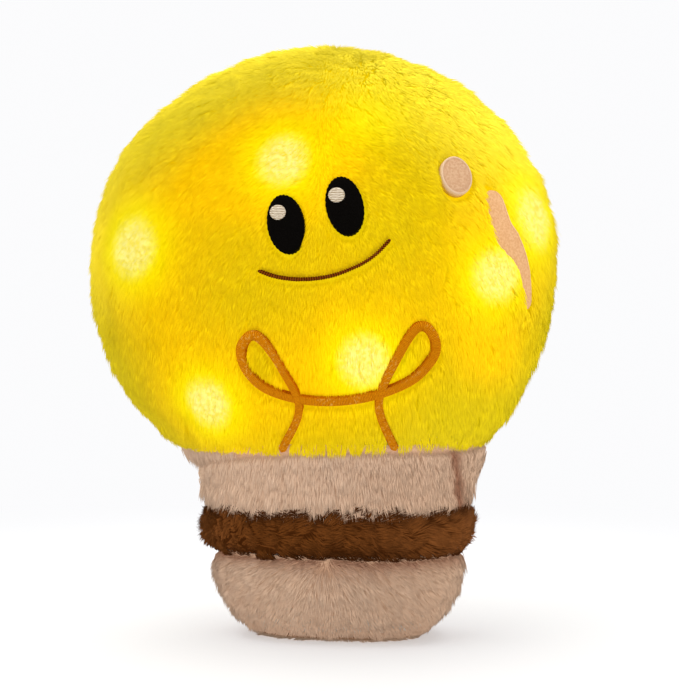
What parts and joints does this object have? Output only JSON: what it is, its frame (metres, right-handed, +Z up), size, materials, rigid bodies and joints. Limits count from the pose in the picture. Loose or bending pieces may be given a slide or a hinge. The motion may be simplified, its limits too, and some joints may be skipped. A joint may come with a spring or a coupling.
{
  "type": "light-up plush toy",
  "caption": "Stuffed plush light bulb with an embroidered face, a brown thread band on a tan base, lights under the cover and a battery case in a back pocket.",
  "frame": {"origin": "on the surface the toy stands on, under the middle of its bounding box", "axes": "+Z up; the face looks along -Y; +X is to the viewer's right when looking at the face"},
  "size_m": [0.2512, 0.165, 0.3256],
  "materials": {
    "yellow_pile": "long soft pile",
    "tan_pile": "long soft pile",
    "brown_pile": "long soft pile",
    "black_thread": "satin stitch",
    "pale_thread": "satin stitch",
    "red_brown_thread": "satin stitch",
    "orange_thread": "satin stitch",
    "beige_felt": "short pile applique",
    "stuffing_fibre": "loose fibre",
    "liner_cloth": "plain cloth",
    "strip_nylon": "hook and loop",
    "case_plastic": "fine moulded texture",
    "button_plastic": "moulded",
    "steel": "plated",
    "cell_wrap": "plain wrap",
    "board_green": "lacquered board",
    "switch_black": "moulded",
    "lens_milk": "milky, lit",
    "wire_yellow": "insulated lead"
  },
  "bodies": {
    "root": {"globe_front_panel": "yellow_pile", "globe_side_gusset": "yellow_pile", "globe_back_panel": "yellow_pile", "neck_front_panel": "tan_pile", "neck_back_panel": "tan_pile", "neck_gusset_left": "tan_pile", "neck_gusset_right": "tan_pile", "base_cap": "tan_pile", "base_sole": "tan_pile", "thread_band": "brown_pile", "eye_left": "black_thread", "eye_right": "black_thread", "eye_glint_left": "pale_thread", "eye_glint_right": "pale_thread", "mouth": "red_brown_thread", "filament": "orange_thread", "glare_dot": "beige_felt", "glare_stripe": "beige_felt", "globe_stuffing": "stuffing_fibre", "base_stuffing": "stuffing_fibre", "pocket_liner": "liner_cloth", "pocket_loop_strip": "strip_nylon", "battery_case": "case_plastic", "switch_plate": "case_plastic", "battery_spring_1": "steel", "battery_spring_2": "steel", "battery_spring_3": "steel", "contact_plate_top": "steel", "contact_plate_bottom": "steel", "battery_cell_1": "cell_wrap", "battery_cell_2": "cell_wrap", "battery_cell_3": "cell_wrap", "circuit_board": "board_green", "switch_body": "switch_black", "led_1": "lens_milk", "led_2": "lens_milk", "led_3": "lens_milk", "led_4": "lens_milk", "led_5": "lens_milk", "led_6": "lens_milk", "led_7": "lens_milk", "led_8": "lens_milk", "wire_case_7": "wire_yellow", "wire_case_8": "wire_yellow", "wire_7_5": "wire_yellow", "wire_5_6": "wire_yellow", "wire_6_4": "wire_yellow", "wire_8_2": "wire_yellow", "wire_2_1": "wire_yellow", "wire_2_3": "wire_yellow"},
    "pocket_flap": {"pocket_flap": "yellow_pile", "flap_hook_strip": "strip_nylon"},
    "battery_door": {"battery_door": "case_plastic"},
    "door_screw": {"door_screw": "steel"},
    "power_button": {"power_button": "button_plastic"}
  },
  "joints": [
    {"name": "pocket_flap_hinge", "type": "hinge", "parent": "root", "child": "pocket_flap", "pos_m": [0, 0.08046, 0.23198], "axis": [1, 0, 0], "range_deg": [0, 110]},
    {"name": "battery_door_hinge", "type": "hinge", "parent": "root", "child": "battery_door", "pos_m": [-0.01265, 0.0698, 0.22418], "axis": [1, 0, 0], "range_deg": [0, 80]},
    {"name": "door_screw_turn", "type": "hinge", "parent": "battery_door", "child": "door_screw", "pos_m": [0.0057, 0.0703, 0.17298], "axis": [0, 1, 0], "continuous": true},
    {"name": "power_button_press", "type": "slide", "parent": "root", "child": "power_button", "axis": [0, -1, 0], "range_m": [0, 0.0015], "stiffness_N_per_m": 900}
  ],
  "couplings": [
    {"joint": "battery_door_hinge", "follows": "pocket_flap_hinge", "ratio": 0.7}
  ]
}
